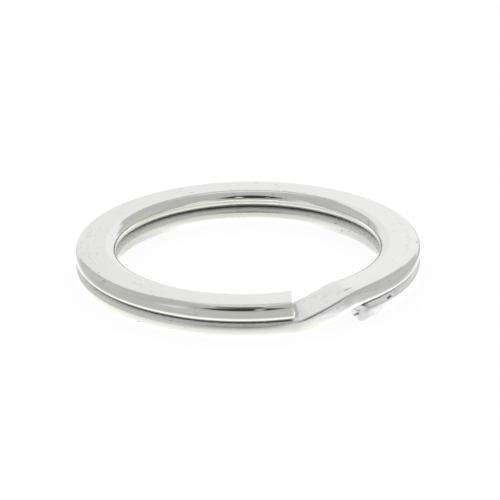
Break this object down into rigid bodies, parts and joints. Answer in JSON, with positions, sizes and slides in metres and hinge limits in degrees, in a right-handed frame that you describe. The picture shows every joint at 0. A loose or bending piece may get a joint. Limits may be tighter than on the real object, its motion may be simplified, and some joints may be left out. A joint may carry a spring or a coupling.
{
  "type": "key ring",
  "caption": "Flat-wire split key ring wound into overlapping turns, with a pressed joggle between them and plain cut ends.",
  "frame": {"origin": "the middle of the ring, on the plane that the lower turn rests on", "axes": "+Z along the ring's axis, from the lower turn to the upper one; -Y towards the joggle and the cut ends"},
  "size_m": [0.03, 0.03, 0.003],
  "materials": {
    "nickel_plate": "bright nickel plate on spring steel, finely scuffed"
  },
  "bodies": {
    "root": {"key_ring": "nickel_plate"}
  },
  "joints": []
}
